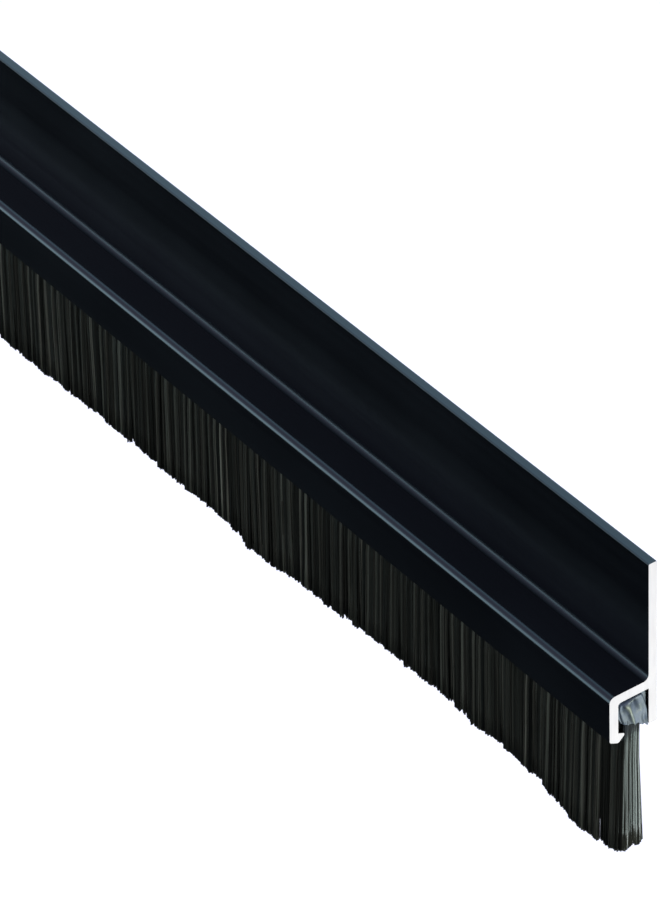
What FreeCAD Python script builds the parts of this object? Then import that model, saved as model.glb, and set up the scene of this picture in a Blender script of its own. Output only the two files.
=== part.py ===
"""Brush door sweep: an extruded aluminium carrier that screws to a door's face, and a strip brush
that slides into the pocket along its lower edge.

Frame, in millimetres: +X runs along the sweep, +Y points out of the back face, towards the door,
and +Z is up. The origin is on the back face, at mid-length, on the line of the screw holes.
Every section is drawn across (Y) from the back face and up (Z) from the bottom of the carrier's
two legs; each body is then lowered by the height of the hole line.
"""
import FreeCAD, Part
import math
import os
import Sketcher

SIZES = [
    # the extruded carrier
    ("carrier_length", 914.4),
    ("flange_height", 27.0),
    ("flange_wall", 1.4),
    ("web_wall", 1.5),
    ("lip_wall", 1.45),
    ("hook_reach", 1.0),
    ("hook_rise", 1.0),
    ("hook_nose", 0.35),
    ("hook_slope", 0.45),
    ("hook_drop", 0.7),
    ("root_fillet", 0.9),
    ("shoulder_radius", 0.9),
    ("pocket_radius", 0.5),
    ("lip_radius", 0.4),
    ("edge_radius", 0.15),
    # the screw holes in its flange
    ("hole_drop", 9.5),
    ("hole_diameter", 4.6),
    ("hole_count", 4),
    ("hole_end_margin", 177.8),
    # the folded steel backing of the strip brush, and the room it has in the pocket
    ("backing_width", 4.7),
    ("backing_height", 4.0),
    ("backing_sheet", 0.5),
    ("backing_bend", 0.9),
    ("backing_side_gap", 0.225),
    ("backing_top_gap", 0.1),
    ("backing_foot_gap", 1.0),
    ("backing_end_gap", 0.4),
    ("crimp_drop", 0.4),
    # the wire and the filaments folded over it
    ("wire_diameter", 1.2),
    ("fold_gap", 0.05),
    ("neck_rise", 0.5),
    ("brush_flare", 0.6),
    ("brush_reach", 20.5),
    ("mouth_gap", 0.25),
    ("flex_gap", 0.05),
    ("group_count", 12),
    ("group_gap", 0.2),
]

# Lengths worked out from the sheet, as expressions. The carrier's pocket is built round the strip
# brush's backing, and the filaments fill the backing.
POCKET_WIDTH = "(Sizes.backing_width + 2 * Sizes.backing_side_gap)"
FLANGE_FRONT = "(-Sizes.flange_wall)"
POCKET_MIDDLE = f"({FLANGE_FRONT} - {POCKET_WIDTH} / 2)"
LIP_INSIDE = f"({FLANGE_FRONT} - {POCKET_WIDTH})"
LIP_OUTSIDE = f"({LIP_INSIDE} - Sizes.lip_wall)"
HOOK_TIP = f"({LIP_INSIDE} + Sizes.hook_reach)"
HOOK_NOSE_TOP = "(Sizes.hook_rise - Sizes.hook_slope)"
BACKING_FOOT = "(Sizes.hook_rise + Sizes.backing_foot_gap)"
BACKING_TOP = f"({BACKING_FOOT} + Sizes.backing_height)"
WEB_UNDER = f"({BACKING_TOP} + Sizes.backing_top_gap)"
WEB_TOP = f"({WEB_UNDER} + Sizes.web_wall)"
BACKING_HALF = "(Sizes.backing_width / 2)"
BACKING_HALF_INSIDE = f"({BACKING_HALF} - Sizes.backing_sheet)"
STRIP_LENGTH = "(Sizes.carrier_length - 2 * Sizes.backing_end_gap)"
FOLD_HALF = f"({BACKING_HALF_INSIDE} - Sizes.fold_gap)"
ROOT_HALF = f"({FOLD_HALF} - Sizes.wire_diameter / 2)"
TIP_HALF = f"({ROOT_HALF} + Sizes.brush_flare)"
CRIMP_HALF_INSIDE = f"({ROOT_HALF} + Sizes.fold_gap)"
CRIMP_HALF_OUTSIDE = f"({CRIMP_HALF_INSIDE} + Sizes.backing_sheet)"
WIRE_HEIGHT = f"({BACKING_TOP} - Sizes.backing_sheet - Sizes.fold_gap - {FOLD_HALF})"
CRIMP_TOP = f"({WIRE_HEIGHT} - Sizes.crimp_drop)"
NECK_HEIGHT = f"({BACKING_FOOT} + Sizes.neck_rise)"
FLEX_HEIGHT = f"(-(Sizes.mouth_gap + Sizes.flex_gap + {ROOT_HALF}))"
GROUP_PITCH = f"({STRIP_LENGTH} / Sizes.group_count)"
HOLE_HEIGHT = "(Sizes.flange_height - Sizes.hole_drop)"
HOLE_SPAN = "(Sizes.carrier_length - 2 * Sizes.hole_end_margin)"

doc = FreeCAD.newDocument("door_sweep")
sheet = doc.addObject("Spreadsheet::Sheet", "Sizes")
for row, (alias, value) in enumerate(SIZES, start=1):
    sheet.set(f"A{row}", alias)
    sheet.set(f"B{row}", str(value))
    sheet.setAlias(f"B{row}", alias)
doc.recompute()


def number(expression):
    """The value of an expression on the sheet, in millimetres."""
    value = sheet.evalExpression(expression)
    return float(getattr(value, "Value", value))


def origin_feature(body, role):
    """One of a body's own origin planes or axes."""
    return next(item for item in body.Origin.OriginFeatures if item.Role == role)


def new_body(label):
    """A body in the row's frame, lowered so that its legs' bottom lies is level with the hole line."""
    body = doc.addObject("PartDesign::Body", label)
    body.Label = label
    body.setExpression("Placement.Base.z", f"-{HOLE_HEIGHT}")
    return body


def new_sketch(body, name, plane):
    """An empty sketch on one of the body's origin planes."""
    sketch = body.newObject("Sketcher::SketchObject", name)
    sketch.AttachmentSupport = [(origin_feature(body, plane), "")]
    sketch.MapMode = "FlatFace"
    return sketch


def tie_distance(sketch, geometry, vertex, kind, name, expression):
    """Ties one point's distance from the sketch's origin, along one axis, to the sheet."""
    distance = Sketcher.Constraint(kind, -1, 1, geometry, vertex, number(expression))
    index = sketch.addConstraint(distance)
    sketch.renameConstraint(index, name)
    sketch.setExpression(f"Constraints.{name}", expression)


def tie_point(sketch, geometry, vertex, name, across, up):
    """Ties one point of a sketch to the sheet by both its distances from the sketch's origin."""
    tie_distance(sketch, geometry, vertex, "DistanceX", f"{name}_across", across)
    tie_distance(sketch, geometry, vertex, "DistanceY", f"{name}_up", up)


def tie_radius(sketch, geometry, name, expression):
    """Ties the radius of a circle or arc to the sheet."""
    radius = Sketcher.Constraint("Radius", geometry, number(expression))
    index = sketch.addConstraint(radius)
    sketch.renameConstraint(index, name)
    sketch.setExpression(f"Constraints.{name}", expression)


def draw_outline(sketch, corners):
    """A closed outline of straight lines, each named corner tied to the sheet."""
    points = [FreeCAD.Vector(number(across), number(up), 0) for _, across, up in corners]
    for start, end in zip(points, points[1:] + points[:1]):
        sketch.addGeometry(Part.LineSegment(start, end), False)
    for line in range(len(corners)):
        before = (line - 1) % len(corners)
        sketch.addConstraint(Sketcher.Constraint("Coincident", before, 2, line, 1))
    for line, (name, across, up) in enumerate(corners):
        tie_point(sketch, line, 1, name, across, up)


def draw_domed_outline(sketch, corners, across, up, radius):
    """Straight lines down one side, across and up the other, closed by a half circle on top.

    The half circle is tied by its centre and radius. It holds the first and the last corner, so
    those two are tied by their height alone.
    """
    points = [FreeCAD.Vector(number(place), number(rise), 0) for _, place, rise in corners]
    for start, end in zip(points, points[1:]):
        sketch.addGeometry(Part.LineSegment(start, end), False)
    last = len(points) - 2
    for line in range(1, last + 1):
        sketch.addConstraint(Sketcher.Constraint("Coincident", line - 1, 2, line, 1))
        tie_point(sketch, line, 1, *corners[line])
    centre = FreeCAD.Vector(number(across), number(up), 0)
    circle = Part.Circle(centre, FreeCAD.Vector(0, 0, 1), number(radius))
    dome = sketch.addGeometry(Part.ArcOfCircle(circle, 0, math.pi), False)
    tie_point(sketch, dome, 3, "dome_centre", across, up)
    tie_radius(sketch, dome, "dome_radius", radius)
    sketch.addConstraint(Sketcher.Constraint("Coincident", dome, 1, 0, 1))
    sketch.addConstraint(Sketcher.Constraint("Coincident", dome, 2, last, 2))
    for line, vertex, (name, _, rise) in ((0, 1, corners[0]), (last, 2, corners[-1])):
        tie_distance(sketch, line, vertex, "DistanceY", f"{name}_up", rise)


def draw_circle(sketch, name, across, up, radius):
    """A circle tied to the sheet by its centre and radius."""
    centre = FreeCAD.Vector(number(across), number(up), 0)
    circle = sketch.addGeometry(Part.Circle(centre, FreeCAD.Vector(0, 0, 1), number(radius)), False)
    tie_point(sketch, circle, 3, name, across, up)
    tie_radius(sketch, circle, f"{name}_radius", radius)


def pad_along(body, sketch, name, length):
    """Extrudes a section along X, half its length to each side."""
    pad = body.newObject("PartDesign::Pad", name)
    pad.Profile = sketch
    pad.Midplane = True
    pad.setExpression("Length", length)
    body.Tip = pad
    doc.recompute()
    return pad


def corner_edges(feature, places):
    """The names of a feature's edges that run along X through the given section corners."""
    found = []
    for across, up in places:
        y, z = number(across), number(up)
        for index, edge in enumerate(feature.Shape.Edges, start=1):
            start, end = edge.Vertexes[0].Point, edge.Vertexes[-1].Point
            along = abs(start.x - end.x) > 1.0
            at_corner = all(abs(p.y - y) < 1e-4 and abs(p.z - z) < 1e-4 for p in (start, end))
            if along and at_corner:
                found.append(f"Edge{index}")
    if len(found) != len(places):
        raise RuntimeError(f"{feature.Name}: {len(found)} of {len(places)} corner edges found")
    return found


def round_corners(body, name, places, radius):
    """Rounds the edges at the given section corners of the body's tip."""
    base = body.Tip
    fillet = body.newObject("PartDesign::Fillet", name)
    fillet.Base = (base, corner_edges(base, places))
    fillet.setExpression("Radius", radius)
    body.Tip = fillet
    doc.recompute()
    return fillet


def make_carrier():
    """The extrusion: a tall flange, a web forward from it, and a lip that hooks in below."""
    body = new_body("carrier")
    corners = {
        "heel": ("0", "0"),
        "flange_back_top": ("0", "Sizes.flange_height"),
        "flange_front_top": (FLANGE_FRONT, "Sizes.flange_height"),
        "web_root": (FLANGE_FRONT, WEB_TOP),
        "shoulder": (LIP_OUTSIDE, WEB_TOP),
        "lip_foot": (LIP_OUTSIDE, "0"),
        "hook_heel": (LIP_INSIDE, "(-Sizes.hook_drop)"),
        "hook_nose_low": (HOOK_TIP, f"({HOOK_NOSE_TOP} - Sizes.hook_nose)"),
        "hook_nose_high": (HOOK_TIP, HOOK_NOSE_TOP),
        "hook_root": (LIP_INSIDE, "Sizes.hook_rise"),
        "pocket_front": (LIP_INSIDE, WEB_UNDER),
        "pocket_back": (FLANGE_FRONT, WEB_UNDER),
        "toe": (FLANGE_FRONT, "0"),
    }
    section = new_sketch(body, "carrier_section", "YZ_Plane")
    draw_outline(section, [(name, *place) for name, place in corners.items()])
    pad_along(body, section, "carrier_extrusion", "Sizes.carrier_length")
    rounds = {
        "root_round": (["web_root"], "Sizes.root_fillet"),
        "shoulder_round": (["shoulder"], "Sizes.shoulder_radius"),
        "pocket_round": (["pocket_front"], "Sizes.pocket_radius"),
        "lip_round": (["lip_foot", "hook_heel"], "Sizes.lip_radius"),
        "edge_round": (
            [
                "flange_back_top",
                "flange_front_top",
                "heel",
                "toe",
                "pocket_back",
                "hook_nose_low",
                "hook_nose_high",
            ],
            "Sizes.edge_radius",
        ),
    }
    for name, (places, radius) in rounds.items():
        round_corners(body, name, [corners[place] for place in places], radius)
    add_screw_holes(body)
    return body


def add_screw_holes(body):
    """A row of plain round holes through the flange, evenly spaced between the two end margins."""
    solid = body.Tip
    sketch = new_sketch(body, "first_hole", "XZ_Plane")
    draw_circle(sketch, "hole", f"(-{HOLE_SPAN} / 2)", HOLE_HEIGHT, "(Sizes.hole_diameter / 2)")
    hole = body.newObject("PartDesign::Pocket", "screw_hole")
    hole.Profile = sketch
    hole.Type = "ThroughAll"
    hole.Midplane = True
    body.Tip = hole
    doc.recompute()
    pattern = body.newObject("PartDesign::LinearPattern", "hole_row")
    pattern.Originals = [hole]
    pattern.Direction = (origin_feature(body, "X_Axis"), [""])
    pattern.setExpression("Length", HOLE_SPAN)
    pattern.setExpression("Occurrences", "Sizes.hole_count")
    body.Tip = pattern
    doc.recompute()
    drilled = solid.Shape.Volume - pattern.Shape.Volume
    one_hole = math.pi * number("Sizes.hole_diameter / 2") ** 2 * number("Sizes.flange_wall")
    if abs(drilled - one_hole * number("Sizes.hole_count")) > 0.01 * one_hole:
        raise RuntimeError("the screw holes don't all go through the flange and nothing else")


def mirrored(corners):
    """An outline's left half, from the corners of its right half, about the pocket's middle."""
    return [
        (f"{name}_left", f"({POCKET_MIDDLE} - {half})", up) for name, half, up in reversed(corners)
    ]


def from_middle(corners):
    """An outline's right half, from half widths measured from the pocket's middle."""
    return [(f"{name}_right", f"({POCKET_MIDDLE} + {half})", up) for name, half, up in corners]


def make_backing():
    """The channel of galvanised sheet, its two feet crimped in to pinch the filaments."""
    body = new_body("brush_backing")
    inside = [
        ("inner_foot", CRIMP_HALF_INSIDE, BACKING_FOOT),
        ("inner_crimp", BACKING_HALF_INSIDE, CRIMP_TOP),
        ("inner_top", BACKING_HALF_INSIDE, f"({BACKING_TOP} - Sizes.backing_sheet)"),
    ]
    outside = [
        ("outer_top", BACKING_HALF, BACKING_TOP),
        ("outer_crimp", BACKING_HALF, CRIMP_TOP),
        ("outer_foot", CRIMP_HALF_OUTSIDE, BACKING_FOOT),
    ]
    half = outside + inside
    right = from_middle(half)
    left = mirrored(half)
    section = new_sketch(body, "backing_section", "YZ_Plane")
    draw_outline(section, right + left)
    pad_along(body, section, "backing_roll", STRIP_LENGTH)
    places = {name: (across, up) for name, across, up in right + left}
    bends = {
        "outer_bend": ("outer_top", "Sizes.backing_bend"),
        "inner_bend": ("inner_top", "(Sizes.backing_bend - Sizes.backing_sheet)"),
    }
    for name, (corner, radius) in bends.items():
        pair = [places[f"{corner}_right"], places[f"{corner}_left"]]
        round_corners(body, name, pair, radius)
    return body


def make_core_wire():
    """The straight wire that the filaments are folded over."""
    body = new_body("core_wire")
    section = new_sketch(body, "wire_section", "YZ_Plane")
    draw_circle(section, "wire", POCKET_MIDDLE, WIRE_HEIGHT, "(Sizes.wire_diameter / 2)")
    pad_along(body, section, "wire_length", STRIP_LENGTH)
    return body


def make_bristle_roots():
    """The filaments where they can't bend: over the wire, through the crimp and out of the mouth."""
    body = new_body("bristle_roots")
    half = [
        ("fold", FOLD_HALF, WIRE_HEIGHT),
        ("neck", ROOT_HALF, NECK_HEIGHT),
        ("mouth", ROOT_HALF, "(-Sizes.mouth_gap)"),
    ]
    section = new_sketch(body, "roots_section", "YZ_Plane")
    outline = from_middle(half) + mirrored(half)
    draw_domed_outline(section, outline, POCKET_MIDDLE, WIRE_HEIGHT, FOLD_HALF)
    draw_circle(section, "wire", POCKET_MIDDLE, WIRE_HEIGHT, "(Sizes.wire_diameter / 2)")
    pad_along(body, section, "roots_length", STRIP_LENGTH)
    return body


def make_bristle_group(index):
    """One stretch of free filaments. Its round top is centred on the line that it flexes about."""
    body = new_body(f"bristles_{index:02d}")
    half = [
        ("knuckle", ROOT_HALF, FLEX_HEIGHT),
        ("tip", TIP_HALF, "(-Sizes.brush_reach)"),
    ]
    section = new_sketch(body, f"bristle_section_{index:02d}", "YZ_Plane")
    outline = from_middle(half) + mirrored(half)
    draw_domed_outline(section, outline, POCKET_MIDDLE, FLEX_HEIGHT, ROOT_HALF)
    pad_along(body, section, f"bristle_length_{index:02d}", f"({GROUP_PITCH} - Sizes.group_gap)")
    steps_from_middle = f"({index} - (Sizes.group_count + 1) / 2)"
    body.setExpression("Placement.Base.x", f"{steps_from_middle} * {GROUP_PITCH}")
    return body


group_total = int(number("Sizes.group_count"))
pieces = [make_carrier(), make_backing(), make_core_wire(), make_bristle_roots()]
pieces += [make_bristle_group(index) for index in range(1, group_total + 1)]
doc.recompute()

for item in doc.Objects:
    if "Invalid" in item.State or "Error" in item.State:
        raise RuntimeError(f"{item.Label} is in state {item.State}")
for piece in pieces:
    if piece.Shape.isNull() or not piece.Shape.isValid() or len(piece.Shape.Solids) != 1:
        raise RuntimeError(f"{piece.Label} isn't one valid solid")

os.makedirs("parts", exist_ok=True)
for piece in pieces:
    piece.Shape.exportStep(f"parts/{piece.Label}.step")
    box = piece.Shape.BoundBox
    print(
        f"{piece.Label}: x {box.XMin:.2f} to {box.XMax:.2f}, y {box.YMin:.3f} to {box.YMax:.3f}, "
        f"z {box.ZMin:.3f} to {box.ZMax:.3f}, volume {piece.Shape.Volume:.1f}"
    )
flex_line = number(f"{FLEX_HEIGHT} - {HOLE_HEIGHT}")
print(f"the bristles flex about y {number(POCKET_MIDDLE):.4f}, z {flex_line:.4f}")
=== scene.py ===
"""The look of the brush door sweep: a black anodised carrier with sawn ends and a strip brush.

Everything is in metres, in the row's frame: +X along the sweep, +Y towards the door, +Z up.
"""
import math

import bpy
import numpy as np
from mathutils import Matrix, Vector


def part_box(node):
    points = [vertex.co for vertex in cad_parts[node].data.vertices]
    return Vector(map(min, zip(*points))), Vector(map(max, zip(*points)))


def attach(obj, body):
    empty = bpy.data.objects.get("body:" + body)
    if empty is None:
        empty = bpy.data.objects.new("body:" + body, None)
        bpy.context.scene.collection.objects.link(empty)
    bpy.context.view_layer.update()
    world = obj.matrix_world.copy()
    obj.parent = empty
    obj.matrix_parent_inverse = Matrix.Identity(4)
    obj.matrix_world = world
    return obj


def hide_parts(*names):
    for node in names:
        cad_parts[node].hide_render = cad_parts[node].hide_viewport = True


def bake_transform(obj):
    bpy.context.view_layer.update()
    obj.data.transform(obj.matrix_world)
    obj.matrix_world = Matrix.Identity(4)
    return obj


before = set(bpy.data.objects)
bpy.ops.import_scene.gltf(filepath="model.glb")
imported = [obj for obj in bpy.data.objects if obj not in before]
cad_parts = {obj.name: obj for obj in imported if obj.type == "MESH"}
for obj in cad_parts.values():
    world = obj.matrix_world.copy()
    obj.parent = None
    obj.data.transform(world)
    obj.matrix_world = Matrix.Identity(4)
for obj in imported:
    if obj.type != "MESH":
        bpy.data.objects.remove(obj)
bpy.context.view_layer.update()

MM = 0.001
TAU = 2.0 * math.pi

CARRIER_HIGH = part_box("carrier")[1]
BACKING_LOW, BACKING_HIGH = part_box("brush_backing")

# Heights in the section are measured from the foot of the flange.
FLANGE_HEIGHT = 27.0 * MM
FLANGE_FOOT = CARRIER_HIGH.z - FLANGE_HEIGHT
SAWN_END = CARRIER_HIGH.x
POCKET_MIDDLE = (BACKING_LOW.y + BACKING_HIGH.y) / 2
WEB_TOP = 7.6 * MM
FLANGE_WALL = 1.4 * MM

GROUPS = sorted(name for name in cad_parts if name.startswith("bristles_"))

# ---------------------------------------------------------------- mesh and node helpers


def mesh_piece(name, vertices, faces, smooth=True):
    """A mesh object from an array of points and a list of arrays of faces, one per face size."""
    mesh = bpy.data.meshes.new(name)
    sizes = np.concatenate([np.full(len(block), block.shape[1]) for block in faces])
    corners = np.concatenate([block.ravel() for block in faces]).astype(np.int32)
    starts = np.concatenate([[0], np.cumsum(sizes)[:-1]]).astype(np.int32)
    mesh.vertices.add(len(vertices))
    mesh.vertices.foreach_set("co", np.asarray(vertices, np.float32).ravel())
    mesh.loops.add(len(corners))
    mesh.loops.foreach_set("vertex_index", corners)
    mesh.polygons.add(len(sizes))
    mesh.polygons.foreach_set("loop_start", starts)
    mesh.update(calc_edges=True)
    mesh.polygons.foreach_set("use_smooth", np.full(len(sizes), smooth))
    mesh.validate()
    piece = bpy.data.objects.new(name, mesh)
    bpy.context.scene.collection.objects.link(piece)
    return piece


def point_attribute(piece, name, values):
    """Stores one number per vertex under a name that a material can read."""
    attribute = piece.data.attributes.new(name, "FLOAT", "POINT")
    attribute.data.foreach_set("value", np.asarray(values, np.float32))


class Nodes:
    """A thin wrapper that adds nodes to a tree and links them by socket name."""

    def __init__(self, tree):
        self.tree = tree

    def add(self, kind, settings=None, **inputs):
        """Adds a node. An input is a plain value, or the output socket that feeds it."""
        node = self.tree.nodes.new(kind)
        for key, value in (settings or {}).items():
            setattr(node, key, value)
        for key, value in inputs.items():
            self.feed(node, key.replace("_", " "), value)
        return node

    def feed(self, node, name, value):
        """Sets or links the first enabled input with this name."""
        socket = next(s for s in node.inputs if s.enabled and s.name.lower() == name.lower())
        if isinstance(value, bpy.types.NodeSocket):
            self.tree.links.new(value, socket)
        else:
            socket.default_value = value

    def math(self, operation, first, second=0.0, clamp=False):
        """A Math node's output."""
        node = self.tree.nodes.new("ShaderNodeMath")
        node.operation = operation
        node.use_clamp = clamp
        for socket, value in zip(node.inputs, (first, second)):
            if isinstance(value, bpy.types.NodeSocket):
                self.tree.links.new(value, socket)
            else:
                socket.default_value = value
        return node.outputs[0]

    def remap(self, value, low, high, to_low, to_high, smooth=False):
        """A Map Range node's output, clamped."""
        node = self.tree.nodes.new("ShaderNodeMapRange")
        node.interpolation_type = "SMOOTHSTEP" if smooth else "LINEAR"
        self.tree.links.new(value, node.inputs["Value"])
        for name, number in zip(
            ("From Min", "From Max", "To Min", "To Max"), (low, high, to_low, to_high)
        ):
            if isinstance(number, bpy.types.NodeSocket):
                self.tree.links.new(number, node.inputs[name])
            else:
                node.inputs[name].default_value = number
        return node.outputs["Result"]

    def blend_colours(self, factor, first, second):
        """A Mix node's colour output."""
        node = self.tree.nodes.new("ShaderNodeMix")
        node.data_type = "RGBA"
        for place, value in ((0, factor), (6, first), (7, second)):
            socket = node.inputs[place]
            if isinstance(value, bpy.types.NodeSocket):
                self.tree.links.new(value, socket)
            else:
                socket.default_value = value
        return node.outputs[2]


def new_group(name, inputs, outputs):
    """A shader node group with named float, vector or colour sockets."""
    group = bpy.data.node_groups.new(name, "ShaderNodeTree")
    for label, kind, default in inputs:
        socket = group.interface.new_socket(label, in_out="INPUT", socket_type=kind)
        if default is not None:
            socket.default_value = default
    for label, kind in outputs:
        group.interface.new_socket(label, in_out="OUTPUT", socket_type=kind)
    nodes = Nodes(group)
    return group, nodes, nodes.add("NodeGroupInput"), nodes.add("NodeGroupOutput")


def new_material(name, **fixed):
    """A material with a Principled shader. Values that don't vary are set on its own sockets."""
    material = bpy.data.materials.new(name)
    material.use_nodes = True
    material.node_tree.nodes.clear()
    nodes = Nodes(material.node_tree)
    shader = nodes.add("ShaderNodeBsdfPrincipled")
    for key, value in fixed.items():
        nodes.feed(shader, key.replace("_", " "), value)
    output = nodes.add("ShaderNodeOutputMaterial")
    material.node_tree.links.new(shader.outputs[0], output.inputs["Surface"])
    return material, nodes, shader


def colour(red, green, blue):
    """A colour with full alpha."""
    return (red, green, blue, 1.0)


# ---------------------------------------------------------------- shared surface effects


def make_drawn_lines_group():
    """Fine parallel lines, as a die, a drawing plate or a saw leaves them.

    Stretch holds the lines per metre along each axis: a small number runs the lines that way.
    """
    group, nodes, source, out = new_group(
        "drawn_lines",
        [
            ("Stretch", "NodeSocketVector", (10.0, 2000.0, 2000.0)),
            ("Contrast", "NodeSocketFloat", 1.0),
        ],
        [("Lines", "NodeSocketFloat")],
    )
    place = nodes.add("ShaderNodeTexCoord").outputs["Object"]
    scaled = nodes.add("ShaderNodeVectorMath", {"operation": "MULTIPLY"})
    group.links.new(place, scaled.inputs[0])
    group.links.new(source.outputs["Stretch"], scaled.inputs[1])
    noise = nodes.add("ShaderNodeTexNoise", Vector=scaled.outputs[0], Scale=1.0, Detail=3.0)
    centred = nodes.math("SUBTRACT", noise.outputs["Fac"], 0.5)
    scaled_back = nodes.math("MULTIPLY", centred, source.outputs["Contrast"])
    lines = nodes.math("ADD", scaled_back, 0.5, clamp=True)
    group.links.new(lines, out.inputs["Lines"])
    return group


def make_mottle_group():
    """Soft cloudy patches: handling marks and uneven dye."""
    group, nodes, source, out = new_group(
        "mottle",
        [("Patches per metre", "NodeSocketFloat", 80.0), ("Detail", "NodeSocketFloat", 3.0)],
        [("Patches", "NodeSocketFloat")],
    )
    place = nodes.add("ShaderNodeTexCoord").outputs["Object"]
    noise = nodes.add(
        "ShaderNodeTexNoise",
        Vector=place,
        Scale=source.outputs["Patches per metre"],
        Detail=source.outputs["Detail"],
    )
    spread = nodes.remap(noise.outputs["Fac"], 0.3, 0.7, 0.0, 1.0, smooth=True)
    group.links.new(spread, out.inputs["Patches"])
    return group


def place_group(nodes, group, **inputs):
    """Places a shared effect in a material with its own values."""
    node = nodes.add("ShaderNodeGroup", {"node_tree": group})
    for key, value in inputs.items():
        nodes.feed(node, key.replace("_", " "), value)
    return node


DRAWN_LINES = make_drawn_lines_group()
MOTTLE = make_mottle_group()


# ---------------------------------------------------------------- finishes


def anodise(name, smoothest, roughest):
    """Black anodised aluminium: a deep blue-black, semi-gloss, with faint die lines along X."""
    material, nodes, shader = new_material(
        name, Metallic=0.0, IOR=1.5, Specular_Tint=colour(0.62, 0.82, 0.95)
    )
    lines = place_group(nodes, DRAWN_LINES, Stretch=(6.0, 2600.0, 2600.0), Contrast=1.0).outputs[0]
    broad = place_group(nodes, DRAWN_LINES, Stretch=(2.5, 420.0, 420.0), Contrast=1.4).outputs[0]
    patches = place_group(nodes, MOTTLE, Patches_per_metre=45.0, Detail=4.0).outputs[0]
    dye = nodes.blend_colours(patches, colour(0.0006, 0.0007, 0.0011), colour(0.0010, 0.0011, 0.0017))
    drawn = nodes.math("MULTIPLY", lines, 0.35)
    black = nodes.blend_colours(drawn, dye, colour(0.0014, 0.0016, 0.0024))
    nodes.feed(shader, "Base Color", black)
    rough = nodes.remap(broad, 0.2, 0.8, smoothest, roughest)
    rough = nodes.math("ADD", rough, nodes.math("MULTIPLY", lines, 0.06))
    rough = nodes.math("ADD", rough, nodes.math("MULTIPLY", patches, 0.03))
    nodes.feed(shader, "Roughness", rough)
    bump = nodes.add("ShaderNodeBump", Strength=0.04, Distance=0.04 * MM, Height=lines)
    nodes.feed(shader, "Normal", bump.outputs[0])
    return material, nodes, shader


def make_black_anodising():
    """The anodising on the open faces of the section."""
    return anodise("black_anodised_aluminium", 0.14, 0.21)[0]


def make_anodised_root_painted_shade():
    """The anodising in the root of the section: rougher, with painted shade that dims its shine most
    where the web begins.
    """
    material, nodes, shader = anodise("black_anodised_root_painted_shade", 0.30, 0.38)
    place = nodes.add("ShaderNodeTexCoord").outputs["Object"]
    across = nodes.add("ShaderNodeSeparateXYZ", Vector=place).outputs["Y"]
    most_shade_at, least_shade_at = -FLANGE_WALL - 0.55 * MM, -FLANGE_WALL - 0.12 * MM
    # painted shade: a metal as dark as the dye mirrors almost nothing, so the more of it, the less
    # shine, darkest next to the web
    nodes.feed(shader, "Metallic", nodes.remap(across, most_shade_at, least_shade_at, 0.68, 0.0))
    return material


def make_sawn_aluminium():
    """The bare end face: bright metal with fine saw marks up the section."""
    material, nodes, shader = new_material("sawn_aluminium", Metallic=0.25, IOR=1.5)
    marks = place_group(nodes, DRAWN_LINES, Stretch=(400.0, 3200.0, 260.0), Contrast=1.5).outputs[0]
    patches = place_group(nodes, MOTTLE, Patches_per_metre=350.0, Detail=2.0).outputs[0]
    metal = nodes.blend_colours(marks, colour(0.40, 0.405, 0.385), colour(0.47, 0.475, 0.45))
    handled = nodes.math("MULTIPLY", patches, 0.25)
    bare = nodes.blend_colours(handled, metal, colour(0.41, 0.43, 0.43))
    nodes.feed(shader, "Base Color", bare)
    nodes.feed(shader, "Roughness", nodes.remap(marks, 0.0, 1.0, 0.45, 0.65))
    bump = nodes.add("ShaderNodeBump", Strength=0.12, Distance=0.05 * MM, Height=marks)
    nodes.feed(shader, "Normal", bump.outputs[0])
    return material


# The wave scale that gives the crimped backing one tooth every 3 mm.
CRIMP_TEETH = 104.7


def make_galvanised_steel():
    """Galvanised sheet: dull blue-grey zinc with small spangles, paler on its folds' crests, partly
    rubbed wear and partly a painted highlight.
    """
    material, nodes, shader = new_material("galvanised_steel", Metallic=0.35, IOR=1.5)
    place = nodes.add("ShaderNodeTexCoord").outputs["Object"]
    spangle = nodes.add("ShaderNodeTexVoronoi", Vector=place, Scale=900.0)
    patches = place_group(nodes, MOTTLE, Patches_per_metre=700.0, Detail=4.0).outputs[0]
    lines = place_group(nodes, DRAWN_LINES, Stretch=(30.0, 2200.0, 2200.0), Contrast=1.2).outputs[0]
    flake = nodes.add("ShaderNodeSeparateColor", Color=spangle.outputs["Color"]).outputs[0]
    zinc = nodes.blend_colours(flake, colour(0.038, 0.062, 0.080), colour(0.088, 0.128, 0.165))
    stained = nodes.math("MULTIPLY", patches, 0.5)
    weathered = nodes.blend_colours(stained, zinc, colour(0.085, 0.115, 0.100))
    # painted highlight and rubbed wear: the raised crests of the folds are made paler
    rubbed_and_highlit = nodes.add("ShaderNodeAttribute", {"attribute_name": "rubbed_and_highlit"}).outputs["Fac"]
    worn_and_highlit = nodes.blend_colours(rubbed_and_highlit, weathered, colour(0.19, 0.235, 0.17))
    nodes.feed(shader, "Base Color", worn_and_highlit)
    nodes.feed(shader, "Roughness", nodes.remap(flake, 0.0, 1.0, 0.46, 0.64))
    teeth = nodes.add(
        "ShaderNodeTexWave", {"bands_direction": "X"}, Vector=place, Scale=CRIMP_TEETH
    )
    height = nodes.math("ADD", lines, nodes.math("MULTIPLY", patches, 0.8))
    height = nodes.math("ADD", height, teeth.outputs["Fac"])
    bump = nodes.add("ShaderNodeBump", Strength=0.25, Distance=0.08 * MM, Height=height)
    nodes.feed(shader, "Normal", bump.outputs[0])
    return material


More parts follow.
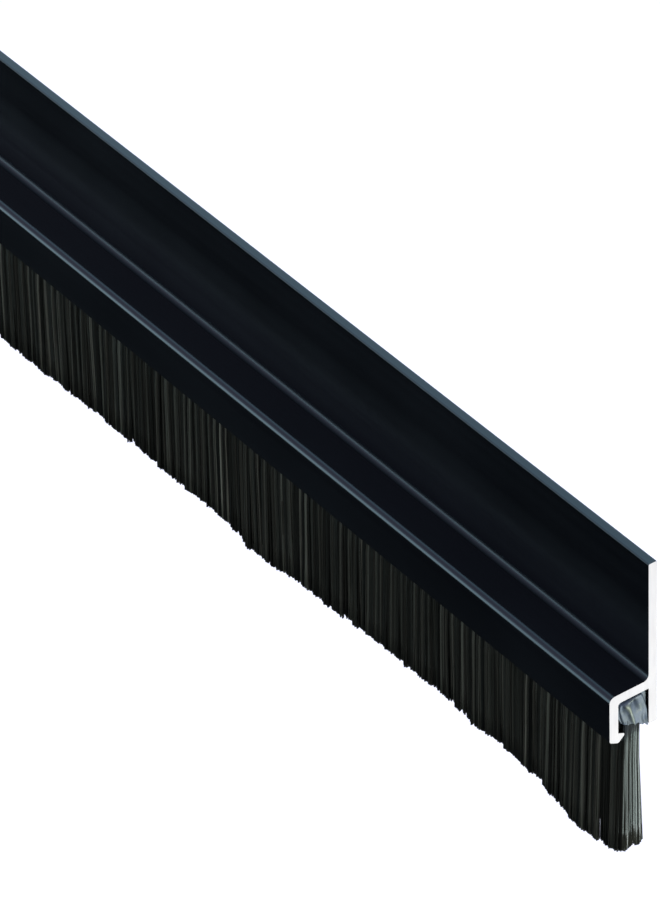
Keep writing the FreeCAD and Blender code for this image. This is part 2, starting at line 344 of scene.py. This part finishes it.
def make_steel_wire():
    """Bright drawn wire, with its drawing lines."""
    material, nodes, shader = new_material("steel_wire", Metallic=1.0)
    lines = place_group(nodes, DRAWN_LINES, Stretch=(20.0, 4000.0, 4000.0), Contrast=1.3).outputs[0]
    bright = nodes.blend_colours(lines, colour(0.34, 0.35, 0.36), colour(0.50, 0.50, 0.49))
    nodes.feed(shader, "Base Color", bright)
    nodes.feed(shader, "Roughness", nodes.remap(lines, 0.0, 1.0, 0.25, 0.42))
    return material


def make_nylon_filament():
    """Black nylon: each filament has its own tone, partly random and partly a painted sheen, a little
    greyer towards its cut tip.
    """
    material, nodes, shader = new_material(
        "black_nylon_filament", Metallic=0.0, IOR=1.52, Specular_Tint=colour(0.72, 1.0, 0.95)
    )
    tone_and_sheen = nodes.add("ShaderNodeAttribute", {"attribute_name": "tone_and_sheen"}).outputs["Fac"]
    drop = nodes.add("ShaderNodeAttribute", {"attribute_name": "drop"}).outputs["Fac"]
    # painted sheen: the lighter tones stand partly for sheen on the filaments, besides their random
    # tone
    body = nodes.blend_colours(tone_and_sheen, colour(0.0040, 0.0042, 0.0030), colour(0.150, 0.158, 0.112))
    cut = nodes.remap(drop, 0.93, 1.0, 0.0, 0.15)
    nodes.feed(shader, "Base Color", nodes.blend_colours(cut, body, colour(0.03, 0.032, 0.026)))
    nodes.feed(shader, "Roughness", nodes.remap(tone_and_sheen, 0.0, 0.5, 0.22, 0.34))
    return material


BLACK_ANODISING = make_black_anodising()
BLACK_ANODISED_ROOT_PAINTED_SHADE = make_anodised_root_painted_shade()
SAWN_ALUMINIUM = make_sawn_aluminium()
GALVANISED_STEEL = make_galvanised_steel()
STEEL_WIRE = make_steel_wire()
NYLON_FILAMENT = make_nylon_filament()


# ---------------------------------------------------------------- pieces that keep their shape

# The carrier's three finishes, in the order of its material slots.
CARRIER_FINISHES = (BLACK_ANODISING, SAWN_ALUMINIUM, BLACK_ANODISED_ROOT_PAINTED_SHADE)

# The root's round lies within this reach of the flange and of the web.
ROOT_REACH = 1.3 * MM


def carrier_finish(face):
    """Bare on the two sawn ends, rougher in the root that the die can't polish and with painted shade
    on its shine there, black elsewhere.
    """
    if abs(face.normal.x) > 0.99:
        return SAWN_ALUMINIUM
    across = -FLANGE_WALL - face.center.y
    height = face.center.z - (FLANGE_FOOT + WEB_TOP)
    sloping = face.normal.y < -0.04 and face.normal.z > 0.04
    # painted shade: the root's faces take the finish whose shine is dimmed towards the web
    if sloping and 0.0 < across < ROOT_REACH and 0.0 < height < ROOT_REACH:
        return BLACK_ANODISED_ROOT_PAINTED_SHADE
    return BLACK_ANODISING


def finish_carrier():
    """The carrier keeps its shape, and each of its faces takes one of the three finishes."""
    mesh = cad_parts["carrier"].data
    mesh.materials.clear()
    for material in CARRIER_FINISHES:
        mesh.materials.append(material)
    for face in mesh.polygons:
        face.material_index = CARRIER_FINISHES.index(carrier_finish(face))


def finish_piece(node, material):
    """A piece that keeps its shape and has one finish all over."""
    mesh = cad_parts[node].data
    mesh.materials.clear()
    mesh.materials.append(material)


# ---------------------------------------------------------------- the filaments

# One rod, and how many stand along the brush. An extra row closes the bundle at each sawn end.
FILAMENT_RADIUS = 0.17 * MM
FILAMENT_SIDES = 3
FILAMENT_STEPS = 7
STRANDS_PER_METRE = 38000
END_ROW = 50
END_ROW_DEPTH = 0.25 * MM
END_INSET = 0.15 * MM

# The bundle's half thickness at the mouth, how much wider it is at the tips, how far it leans
# towards the hook, over what share of its length, and the width of its filaments' clumps.
BUNDLE_HALF = 1.17 * MM
FLARE = 0.55 * MM
HOOK_LEAN = -0.33 * MM
LEANING_SHARE = 0.30
CLUMP_WIDTH = 1.1 * MM
CLUMP_SEED = 900000

# Filaments share a few tones.
TONE_LEVELS = 32

# How far the trimmed tips hang below the flange's foot, in millimetres, at distances from the
# sawn end: the brush was cut by hand and wanders.
TRIM = [
    (0, 20.3), (4, 21.3), (9, 22.0), (13, 21.1), (18, 19.6), (27, 19.1), (33, 19.7), (40, 18.8),
    (54, 18.8), (66, 19.9), (75, 20.3), (80, 21.3), (84, 22.0), (88, 21.2), (91, 20.3), (100, 20.2),
    (106, 20.8), (115, 20.0), (129, 20.5), (142, 21.2), (156, 21.1),
]

# Further from the sawn end than this, in metres, random waves of the same size take over.
DRAWN_TRIM = 0.150
TRIM_CHANGEOVER = 0.012


def smooth_noise(x, step, seed):
    """Smooth random waves from -1 to 1 along x, about one per step."""
    rng = np.random.default_rng(seed)
    knots = rng.uniform(-1.0, 1.0, 4096)
    t = x / step + 2048.0
    i = np.floor(t).astype(int)
    f = t - i
    f = f * f * (3.0 - 2.0 * f)
    return knots[i] * (1.0 - f) + knots[i + 1] * f


def trimmed_tip(x):
    """The height of the cut tips at x."""
    distances, drops = zip(*TRIM)
    behind = SAWN_END - x
    near = np.interp(behind, np.array(distances) * MM, np.array(drops) * MM)
    far = (20.3 + 0.8 * smooth_noise(x, 22 * MM, 5) + 0.5 * smooth_noise(x, 9 * MM, 6)) * MM
    share = np.clip((behind - DRAWN_TRIM) / TRIM_CHANGEOVER, 0.0, 1.0)
    return FLANGE_FOOT - (near * (1.0 - share) + far * share)


def streaks(x):
    """Light and dark streaks along x, a few filaments wide, that even out over a few millimetres:
    painted sheen and shade in the filaments' tones.
    """
    width, apart = 0.42 * MM, 0.8 * MM
    beside = smooth_noise(x - apart, width, 41) + smooth_noise(x + apart, width, 41)
    return smooth_noise(x, width, 41) - beside / 2


def strand_feet(name, rng):
    """Where one group's filaments stand along the brush: evenly, with a full row at a sawn end."""
    low, high = (corner.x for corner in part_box(name))
    limit = SAWN_END - END_INSET
    low = -limit if name == GROUPS[0] else low
    high = limit if name == GROUPS[-1] else high
    count = int((high - low) * STRANDS_PER_METRE)
    feet = low + (np.arange(count) + rng.uniform(0.0, 1.0, count)) / count * (high - low)
    if name == GROUPS[0]:
        feet = np.concatenate([feet, low + rng.uniform(0.0, 1.0, END_ROW) * END_ROW_DEPTH])
    if name == GROUPS[-1]:
        feet = np.concatenate([feet, high - rng.uniform(0.0, 1.0, END_ROW) * END_ROW_DEPTH])
    return feet


def strand_layers(x_root, rng):
    """Each filament's place across the bundle, -1 to 1: four in five lie in its two outer skins."""
    count = len(x_root)
    turn = np.arange(count) % 5
    side = np.where(turn % 2 == 0, -1.0, 1.0)
    skin = side * (1.0 - np.abs(rng.normal(0.0, 0.10, count)))
    last_row = np.abs(x_root) > SAWN_END - END_INSET - END_ROW_DEPTH
    return np.where((turn == 4) | last_row, rng.uniform(-1.0, 1.0, count), skin)


def strand_clumps(x_root, across):
    """The middle of each filament's clump, and five random draws that the clump shares."""
    waver = 0.45 * smooth_noise(x_root, 2.3 * MM, 11)
    clump = np.floor(x_root / CLUMP_WIDTH + waver + 0.5 * (across > 0)).astype(int)
    keys, where = np.unique(clump * 2 + (across > 0), return_inverse=True)
    draws = [np.random.default_rng(int(key) + CLUMP_SEED).normal(0.0, 1.0, 5) for key in keys]
    middles = [x_root[where == k].mean() for k in range(len(keys))]
    return np.array(middles)[where], np.array(draws)[where]


def strand_tips(x_root, y_root, across, rng):
    """Where the filaments end, and their clumps' draws: drawn together, splayed and trimmed."""
    count = len(x_root)
    middle, draws = strand_clumps(x_root, across)
    x = x_root + (middle - x_root) * np.clip(0.03 + 0.03 * draws[:, 0], 0.0, 0.08)
    x += 0.14 * MM * smooth_noise(x_root, 6 * MM, 21) + 0.05 * MM * draws[:, 1]
    x += rng.normal(0.0, 0.09 * MM, count)
    y = y_root + across * FLARE + 0.14 * MM * draws[:, 2] + rng.normal(0.0, 0.08 * MM, count)
    y += 0.18 * MM * smooth_noise(x_root, 12 * MM, 31)
    z = trimmed_tip(x) + 0.13 * MM * draws[:, 3] + rng.normal(0.0, 0.10 * MM, count)
    stray = rng.uniform(0.0, 1.0, count)
    z += np.where(stray < 0.02, rng.uniform(0.1, 0.7, count) * MM, 0.0)
    z -= np.where(stray > 0.985, rng.uniform(0.1, 0.4, count) * MM, 0.0)
    return x, y, z + parting(x_root, across), draws


def parting(x_root, across):
    """The notch in the tips of the last filaments, where the bundle parts at a sawn end."""
    at_the_end = np.clip(1.0 - (SAWN_END - np.abs(x_root)) / (1.6 * MM), 0.0, 1.0)
    return 1.7 * MM * at_the_end * np.exp(-(((across - 0.15) / 0.22) ** 2))


def strand_paths(name, seed):
    """The centre lines of one group's filaments, root to tip, and each filament's tone, which carries
    painted sheen too.
    """
    rng = np.random.default_rng(seed)
    x_root = strand_feet(name, rng)
    across = strand_layers(x_root, rng)
    count = len(x_root)
    y_root = POCKET_MIDDLE + across * BUNDLE_HALF
    z_root = BACKING_LOW.z + 0.12 * MM
    x_tip, y_tip, z_tip, draws = strand_tips(x_root, y_root, across, rng)

    s = np.linspace(0.0, 1.0, FILAMENT_STEPS)[None, :]
    open_out = s ** 1.25
    bow = np.sin(math.pi * s)
    lean = np.clip(s / LEANING_SHARE, 0.0, 1.0)
    x = x_root[:, None] + (x_tip - x_root)[:, None] * open_out
    x = x + rng.normal(0.0, 0.07 * MM, count)[:, None] * bow
    y = y_root[:, None] + (y_tip - y_root)[:, None] * open_out + HOOK_LEAN * lean
    y = y + rng.normal(0.0, 0.05 * MM, count)[:, None] * bow
    z = z_root + (z_tip - z_root)[:, None] * s
    return np.stack([x, y, z], axis=2), strand_tones(x_root, draws, rng)


def strand_tones(x_root, draws, rng):
    """How light each filament is, 0 to 1: most are near black and a few carry a painted sheen on top
    of their random tone.
    """
    spread = 0.25 * rng.normal(0.0, 1.0, len(x_root)) + 0.20 * draws[:, 4]
    spread += 1.25 * streaks(x_root) + 0.20 * smooth_noise(x_root, 1.7 * MM, 45)
    return np.clip(0.080 * np.exp(spread), 0.0, 1.0)


def strand_mesh(name, paths, tone_and_sheen):
    """Thin three-sided rods along the paths, closed at both ends."""
    count, steps, _ = paths.shape
    sides = FILAMENT_SIDES
    turn = np.random.default_rng(len(name)).uniform(0.0, TAU, count)
    angle = turn[:, None] + np.arange(sides)[None, :] * TAU / sides
    radius = FILAMENT_RADIUS
    ring = np.stack([np.cos(angle) * radius, np.sin(angle) * radius, np.zeros_like(angle)], axis=2)
    vertices = paths[:, :, None, :] + ring[:, None, :, :]
    first = (np.arange(count) * steps * sides)[:, None, None]
    level = (np.arange(steps - 1) * sides)[None, :, None]
    side = np.arange(sides)[None, None, :]
    following = (side + 1) % sides
    a = first + level + side
    b = first + level + following
    quads = np.stack([a, a + sides, b + sides, b], axis=3).reshape(-1, 4)
    top = (first[:, 0, :] + np.arange(sides)[None, :])
    bottom = (first[:, 0, :] + (steps - 1) * sides + np.arange(sides)[None, ::-1])
    piece = mesh_piece(name, vertices.reshape(-1, 3), [quads, top, bottom])
    drop = np.linspace(0.0, 1.0, steps)
    level_of = np.round(tone_and_sheen * (TONE_LEVELS - 1)) / (TONE_LEVELS - 1)
    point_attribute(piece, "tone_and_sheen", np.repeat(level_of, steps * sides))
    point_attribute(piece, "drop", np.tile(np.repeat(drop, sides), count))
    lay_out_by_tone(piece, level_of, count, steps, sides)
    piece.data.materials.append(NYLON_FILAMENT)
    return piece


def lay_out_by_tone(piece, level_of, count, steps, sides):
    """A map with one column per tone, root at the top: filaments of one tone share a column."""
    width = 1.0 / TONE_LEVELS
    left = np.round(level_of * (TONE_LEVELS - 1)) * width + 0.1 * width
    column = 0.8 * width
    height = np.linspace(0.98, 0.02, steps)
    k = np.arange(sides)
    u_pair = np.stack([k, k, k + 1, k + 1], axis=1) / sides * column
    u = np.broadcast_to(u_pair[None, None], (count, steps - 1, sides, 4))
    u = u + left[:, None, None, None]
    v_up, v_down = height[:-1], height[1:]
    v_quad = np.stack([v_up, v_down, v_down, v_up], axis=1)
    v = np.broadcast_to(v_quad[None, :, None, :], (count, steps - 1, sides, 4))
    walls = np.stack([u, v], axis=4).reshape(-1, 2)
    ends = []
    for level in (0.99, 0.01):
        cap_u = left[:, None] + (k[None, :] + 0.5) / sides * column
        cap_v = np.full((count, sides), level) + 0.004 * (k[None, :] == 1)
        ends.append(np.stack([cap_u, cap_v], axis=2).reshape(-1, 2))
    layer = piece.data.uv_layers.new(name="OFBake")
    layer.data.foreach_set("uv", np.concatenate([walls, *ends]).astype(np.float32).ravel())


def make_filaments():
    """One piece per group, held by the strip at the root, in place of the group's own node, which is
    hidden.
    """
    for index, node in enumerate(GROUPS, start=1):
        paths, tone_and_sheen = strand_paths(node, seed=700 + index)
        piece = strand_mesh(f"filaments_{index:02d}", paths, tone_and_sheen)
        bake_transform(piece)
        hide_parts(node)


# ---------------------------------------------------------------- the backing's crushed ends

# Outline of the crushed end, in millimetres: (across, above the flange's foot), drawn as four
# edges. The lower right corner is folded out in front of the flange's sawn end.
TOP_EDGE = [(-6.25, 5.35), (-5.55, 5.72), (-4.00, 5.93), (-2.30, 5.86)]
RIGHT_EDGE = [(-2.30, 5.86), (-2.10, 5.10), (-1.58, 2.50), (-1.45, -0.20)]
BOTTOM_EDGE = [(-5.75, 1.80), (-4.20, 1.42), (-3.00, 0.88), (-1.45, -0.20)]
LEFT_EDGE = [(-6.25, 5.35), (-6.27, 4.20), (-6.15, 3.20), (-5.75, 1.80)]

# Folds and dents in the sheet: (across 0..1, down 0..1, half widths, height in millimetres).
FOLDS = [
    (0.33, 0.24, 0.08, 0.16, 0.38),
    (0.41, 0.45, 0.07, 0.20, 0.46),
    (0.41, 0.85, 0.08, 0.28, 0.34),
    (0.16, 0.42, 0.12, 0.34, -0.30),
    (0.30, 0.02, 0.16, 0.10, -0.22),
    (0.64, 0.34, 0.08, 0.16, -0.42),
    (0.58, 0.10, 0.13, 0.12, 0.40),
    (0.78, 0.52, 0.09, 0.20, 0.26),
    (0.60, 0.66, 0.10, 0.14, 0.12),
    (0.90, 0.86, 0.09, 0.12, -0.30),
    (0.72, 0.86, 0.10, 0.12, 0.14),
]

# The crushed sheet's thickness, and the middle of the end, in millimetres.
SHEET = 0.4
CRUSHED_MIDDLE = np.array([-3.9, 3.4])


def along(edge, share):
    """Points along a drawn edge, at shares of its length."""
    points = np.array(edge)
    steps = np.linspace(0.0, 1.0, len(points))
    across, up = (np.interp(share, steps, points[:, axis]) for axis in (0, 1))
    return np.stack([across, up], axis=-1)


def crushed_outline(u, v):
    """A smooth patch (across, up) between the four drawn edges."""
    top, bottom = along(TOP_EDGE, u), along(BOTTOM_EDGE, u)
    left, right = along(LEFT_EDGE, v), along(RIGHT_EDGE, v)
    top_left, top_right = np.array(TOP_EDGE[0]), np.array(TOP_EDGE[-1])
    bottom_left, bottom_right = np.array(BOTTOM_EDGE[0]), np.array(BOTTOM_EDGE[-1])
    uu, vv = u[..., None], v[..., None]
    flat = (1 - vv) * top + vv * bottom + (1 - uu) * left + uu * right
    flat -= (1 - vv) * ((1 - uu) * top_left + uu * top_right)
    flat -= vv * ((1 - uu) * bottom_left + uu * bottom_right)
    ragged = 0.10 * np.sin(23.0 * u[-1]) + 0.07 * np.sin(51.0 * u[-1] + 1.0)
    flat[-1, 1:-1, 1] += ragged[1:-1]
    return flat


def crushed_sheet(columns=44, rows=40):
    """The crushed end as (out, across, up) in millimetres, front skin only."""
    u, v = np.meshgrid(np.linspace(0.0, 1.0, columns), np.linspace(0.0, 1.0, rows))
    flat = crushed_outline(u, v)
    out = np.full_like(u, -0.04)
    for place_u, place_v, wide, tall, height in FOLDS:
        out += 0.75 * height * np.exp(-(((u - place_u) / wide) ** 2) - ((v - place_v) / tall) ** 2)
    rim = np.minimum(np.minimum(u, 1.0 - u + 0.11 * v), v)
    out -= 0.75 * np.clip(1.0 - rim / 0.11, 0.0, 1.0) ** 2
    out += 0.05 * np.sin(9.0 * u + 4.0 * v) * np.sin(7.0 * v + 2.0)
    return np.stack([out, flat[..., 0], flat[..., 1]], axis=-1)


def sheet_faces(rows, columns):
    """The faces of a closed sheet: its front skin, its back skin and the edge between them."""
    index = np.arange(rows * columns).reshape(rows, columns)
    a, b = index[:-1, :-1].ravel(), index[:-1, 1:].ravel()
    c, d = index[1:, 1:].ravel(), index[1:, :-1].ravel()
    front = np.stack([a, d, c, b], axis=1)
    back = np.stack([a, b, c, d], axis=1) + rows * columns
    rim = np.concatenate([index[0, :-1], index[:-1, -1], index[-1, :0:-1], index[:0:-1, 0]])
    following = np.roll(rim, -1)
    edge = [rim, following, following + rows * columns, rim + rows * columns]
    return np.concatenate([front, back, np.stack(edge, axis=1)])


def make_crushed_end(name, side):
    """Where the strip was sheared, its sheet is crushed shut over the folded filaments."""
    skin = crushed_sheet()
    rows, columns, _ = skin.shape
    inner = skin.copy()
    inner[..., 0] -= SHEET
    inner[..., 1:] = CRUSHED_MIDDLE + (inner[..., 1:] - CRUSHED_MIDDLE) * 0.97
    points = np.concatenate([skin.reshape(-1, 3), inner.reshape(-1, 3)])
    x = side * (SAWN_END + points[:, 0] * MM)
    vertices = np.stack([x, points[:, 1] * MM, FLANGE_FOOT + points[:, 2] * MM], axis=1)
    faces = sheet_faces(rows, columns)
    faces = faces if side > 0 else faces[:, ::-1]
    piece = mesh_piece(name, vertices, [faces])
    # painted highlight and rubbed wear: how far each point stands out on a fold's crest, which the
    # sheet's colour turns paler
    crest = np.clip((skin[..., 0] - 0.06) / 0.26, 0.0, 1.0).ravel()
    point_attribute(piece, "rubbed_and_highlit", np.concatenate([crest, np.zeros_like(crest)]))
    piece.data.materials.append(GALVANISED_STEEL)
    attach(piece, "brush_strip")


finish_carrier()
finish_piece("core_wire", STEEL_WIRE)
finish_piece("bristle_roots", NYLON_FILAMENT)
finish_piece("brush_backing", GALVANISED_STEEL)
make_crushed_end("crushed_end_near", 1.0)
make_crushed_end("crushed_end_far", -1.0)
make_filaments()


# ---------------------------------------------------------------- floor, light and camera


FLOOR_DROP = 0.30
FLOOR_REACH = 30.0


def make_floor():
    """A plain pale floor well below the sweep, which hangs as it would on its door."""
    height = FLANGE_FOOT - FLOOR_DROP
    quarters = ((-1, -1), (1, -1), (1, 1), (-1, 1))
    corners = np.array([(FLOOR_REACH * x, FLOOR_REACH * y, height) for x, y in quarters])
    floor = mesh_piece("floor", corners, [np.array([[0, 1, 2, 3]])], smooth=False)
    material, nodes, shader = new_material("pale_floor", Roughness=1.0, Specular_IOR_Level=0.0)
    nodes.feed(shader, "Base Color", colour(0.93, 0.93, 0.93))
    nodes.feed(shader, "Emission Color", colour(1.0, 1.0, 1.0))
    nodes.feed(shader, "Emission Strength", 0.15)
    floor.data.materials.append(material)
    floor.visible_glossy = False
    floor.visible_diffuse = False
    floor.visible_shadow = False


def add_card(nodes, direction, seen, toward, inner, outer, light):
    """Lays a soft round card of light over what is seen, inner and outer in degrees."""
    facing = nodes.add("ShaderNodeVectorMath", {"operation": "DOT_PRODUCT"})
    nodes.tree.links.new(direction, facing.inputs[0])
    facing.inputs[1].default_value = Vector(toward).normalized()
    edge, middle = math.cos(math.radians(outer)), math.cos(math.radians(inner))
    share = nodes.remap(facing.outputs["Value"], edge, middle, 0.0, 1.0, smooth=True)
    return nodes.blend_colours(share, seen, colour(*light))


# Each soft card: where it stands, seen from the sweep, its half widths in degrees, its light.
CARDS = [
    ((-0.655, -0.451, 0.606), 3.0, 18.0, (0.70, 0.66, 0.88)),
    ((-0.655, 0.451, 0.606), 22.0, 42.0, (1.05, 1.45, 1.75)),
    ((-0.655, -0.748, -0.100), 7.0, 23.0, (2.7, 3.4, 3.7)),
]


def make_world():
    """Soft light from all round above, brighter where the cards stand, and little from below."""
    world = bpy.data.worlds.new("studio")
    bpy.context.scene.world = world
    world.use_nodes = True
    world.node_tree.nodes.clear()
    nodes = Nodes(world.node_tree)
    direction = nodes.add("ShaderNodeTexCoord").outputs["Generated"]
    height = nodes.add("ShaderNodeSeparateXYZ", Vector=direction).outputs["Z"]
    above = nodes.remap(height, -0.32, -0.02, 0.0, 1.0, smooth=True)
    seen = nodes.blend_colours(above, colour(0.016, 0.019, 0.024), colour(0.93, 0.88, 1.10))
    for toward, inner, outer, light in CARDS:
        seen = add_card(nodes, direction, seen, toward, inner, outer, light)
    background = nodes.add("ShaderNodeBackground", Color=seen, Strength=1.0)
    output = nodes.add("ShaderNodeOutputWorld")
    world.node_tree.links.new(background.outputs[0], output.inputs["Surface"])


SOFTBOX_SIDE = 0.30
SOFTBOX_DISTANCE = 0.32
SOFTBOX_POWER = 1.7


def make_end_softbox():
    """A soft square light low beyond the near end, for the sawn face and the crushed sheet."""
    light = bpy.data.lights.new("end_softbox", "AREA")
    light.shape = "RECTANGLE"
    light.size, light.size_y = SOFTBOX_SIDE, SOFTBOX_SIDE
    light.energy = SOFTBOX_POWER
    lamp = bpy.data.objects.new("end_softbox", light)
    bpy.context.scene.collection.objects.link(lamp)
    near_end = Vector((SAWN_END, -4.0 * MM, FLANGE_FOOT - 8.0 * MM))
    outward = Vector((0.655, 0.451, -0.606))
    lamp.location = near_end + outward * SOFTBOX_DISTANCE
    lamp.rotation_euler = (near_end - lamp.location).to_track_quat("-Z", "Y").to_euler()


CAMERA_AZIMUTH = 55.46
CAMERA_ELEVATION = 37.33
CAMERA_ROLL = -2.5
CAMERA_DISTANCE = 0.788
CAMERA_LENS = 222.5
AIM_FROM_END = 73.9 * MM
AIM_ABOVE_FOOT = 1.0 * MM


def make_camera():
    """Looks down on the sawn end, a little rolled, with a long lens."""
    azimuth, elevation, roll = map(math.radians, (CAMERA_AZIMUTH, CAMERA_ELEVATION, CAMERA_ROLL))
    back = Vector((
        math.sin(azimuth) * math.cos(elevation),
        -math.cos(azimuth) * math.cos(elevation),
        math.sin(elevation),
    ))
    right = Vector((math.cos(azimuth), math.sin(azimuth), 0.0))
    up = back.cross(right)
    across = right * math.cos(roll) + up * math.sin(roll)
    upright = up * math.cos(roll) - right * math.sin(roll)
    aim = Vector((SAWN_END - AIM_FROM_END, 0.0, FLANGE_FOOT + AIM_ABOVE_FOOT))
    camera_data = bpy.data.cameras.new("camera")
    camera_data.lens = CAMERA_LENS
    camera_data.sensor_width = 36.0
    camera_data.clip_start, camera_data.clip_end = 0.05, 100.0
    camera = bpy.data.objects.new("camera", camera_data)
    bpy.context.scene.collection.objects.link(camera)
    turn = Matrix((across, upright, back)).transposed()
    camera.matrix_world = Matrix.Translation(aim + back * CAMERA_DISTANCE) @ turn.to_4x4()
    bpy.context.scene.camera = camera


make_floor()
make_world()
make_end_softbox()
make_camera()
bpy.context.scene.view_settings.view_transform = "Standard"
